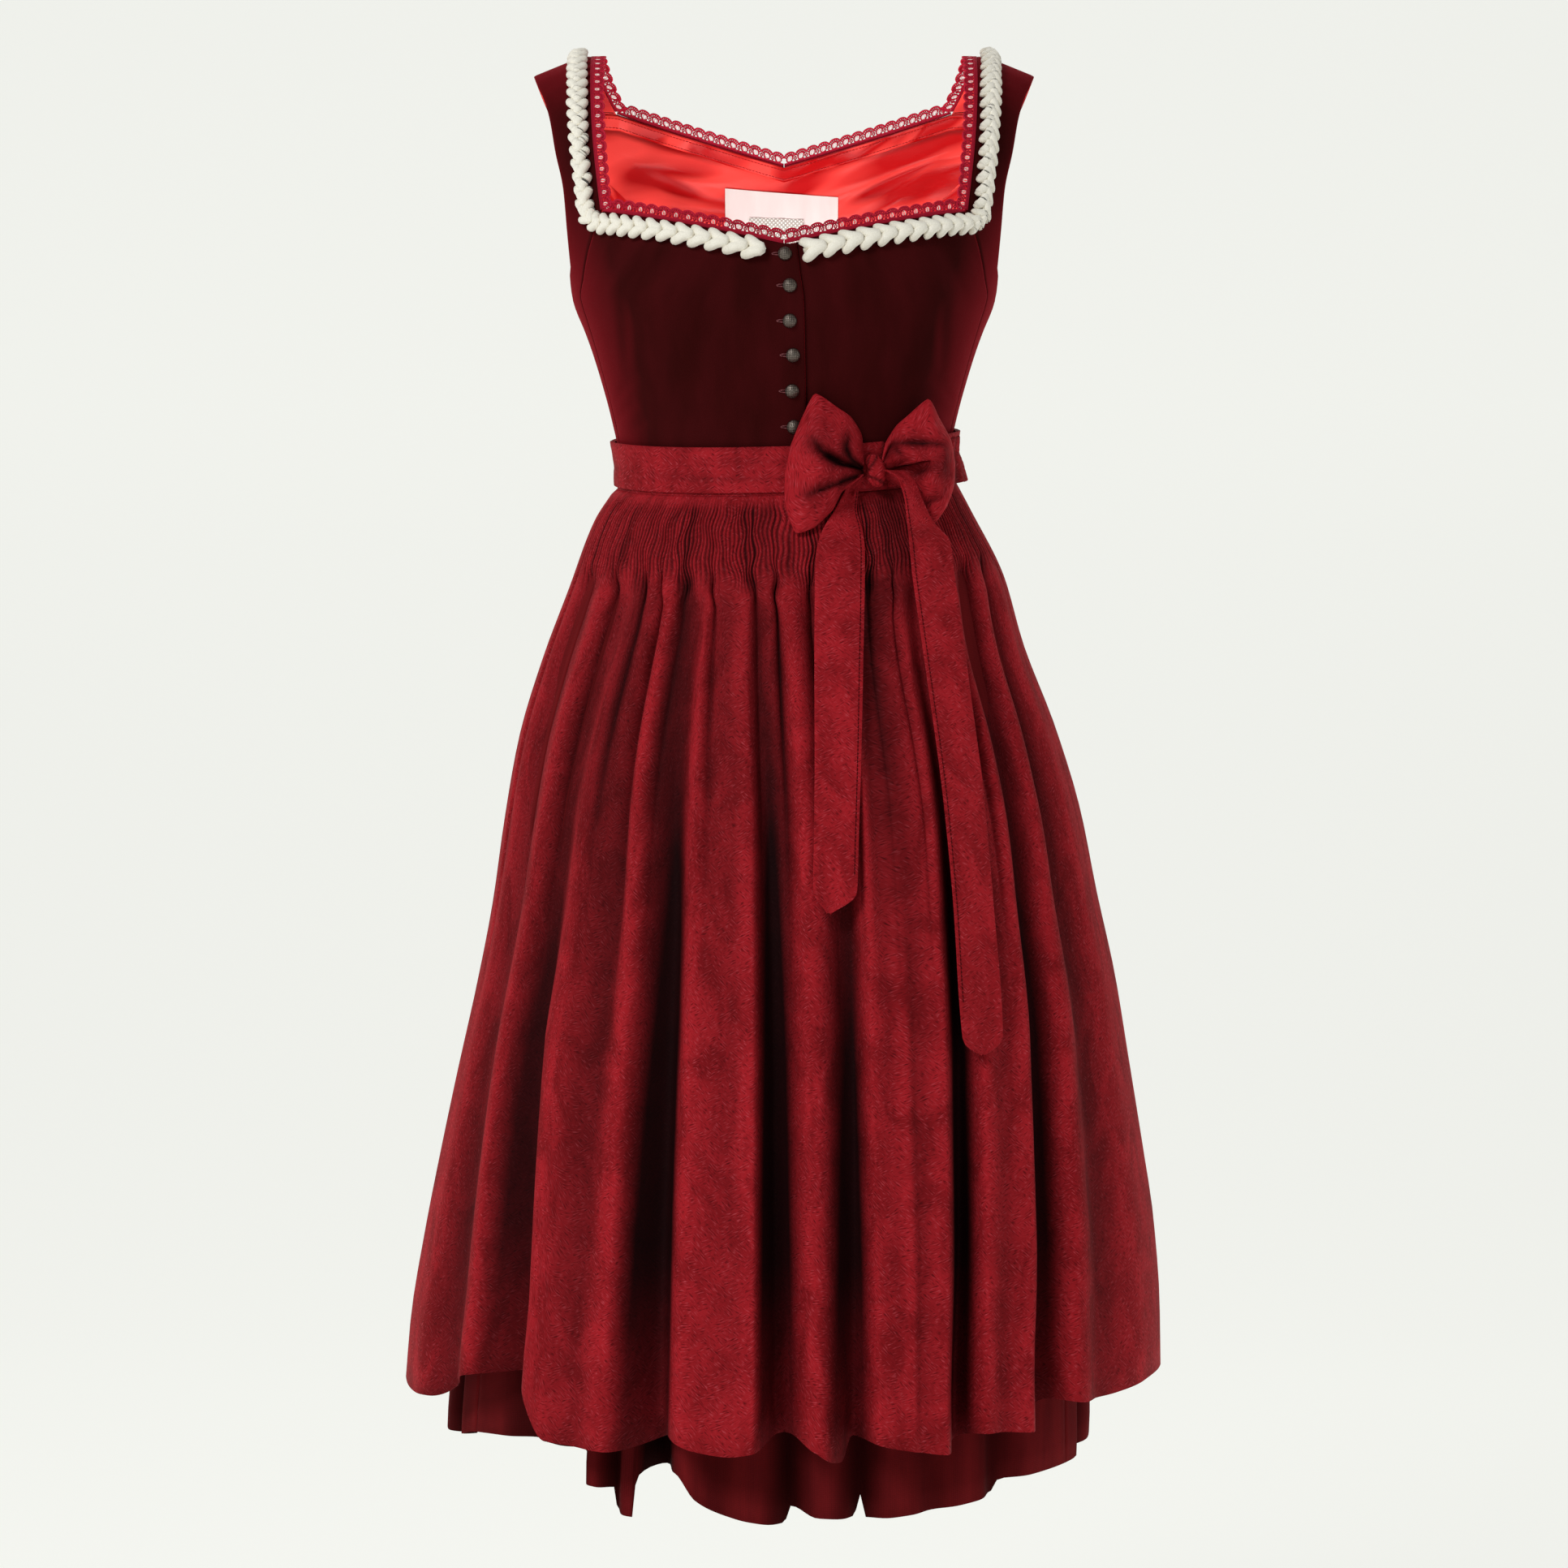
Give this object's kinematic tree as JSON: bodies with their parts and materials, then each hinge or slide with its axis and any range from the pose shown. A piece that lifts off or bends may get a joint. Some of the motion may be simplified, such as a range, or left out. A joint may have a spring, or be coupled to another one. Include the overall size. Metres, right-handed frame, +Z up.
{
  "type": "dirndl dress with apron",
  "caption": "Sleeveless folk dress: fitted velvet bodice with square neck, gathered skirt, pleated apron tied in a side bow, lace and braid at the neck.",
  "frame": {"origin": "middle of the shoulder line, between the tops of the two straps, where the wearer's shoulders hold the dress", "axes": "+Z up along the wearer, +X to the wearer's left, -Y towards the front"},
  "size_m": [0.5479, 0.5376, 1.0367],
  "materials": {
    "velvet": "dark burgundy cotton velvet",
    "satin": "bright red lining satin",
    "skirt_cloth": "plain dark burgundy dress cloth",
    "jacquard": "wine red jacquard with a broken diagonal hatch, slight sheen",
    "lace_thread": "crimson guipure lace thread",
    "braid_velour": "cream velour chain braid",
    "old_silver": "antique silver, dark in the hollows",
    "label_satin": "bare pale pink satin label",
    "label_net": "bare off-white net patch"
  },
  "bodies": {
    "root": {"front_right": "velvet", "front_left": "velvet", "strap_right": "velvet", "strap_left": "velvet", "back": "velvet", "side_back_right": "velvet", "side_back_left": "velvet", "lining_back": "satin", "lining_side_right": "satin", "lining_side_left": "satin", "skirt_front": "skirt_cloth", "skirt_side_left": "skirt_cloth", "skirt_side_right": "skirt_cloth", "skirt_back": "skirt_cloth", "apron": "jacquard", "apron_waistband": "jacquard", "tie_from_left": "jacquard", "tie_from_right": "jacquard", "bow_loop_left": "jacquard", "bow_loop_right": "jacquard", "bow_knot": "jacquard", "tail_short": "jacquard", "tail_long": "jacquard", "button_1": "old_silver", "button_2": "old_silver", "button_3": "old_silver", "button_4": "old_silver", "button_5": "old_silver", "button_6": "old_silver", "lace_front_right": "lace_thread", "lace_front_left": "lace_thread", "lace_strap_right": "lace_thread", "lace_strap_left": "lace_thread", "lace_back_right": "lace_thread", "lace_back_left": "lace_thread", "braid_right": "braid_velour", "braid_left": "braid_velour", "label": "label_satin", "label_patch": "label_net"}
  },
  "joints": []
}
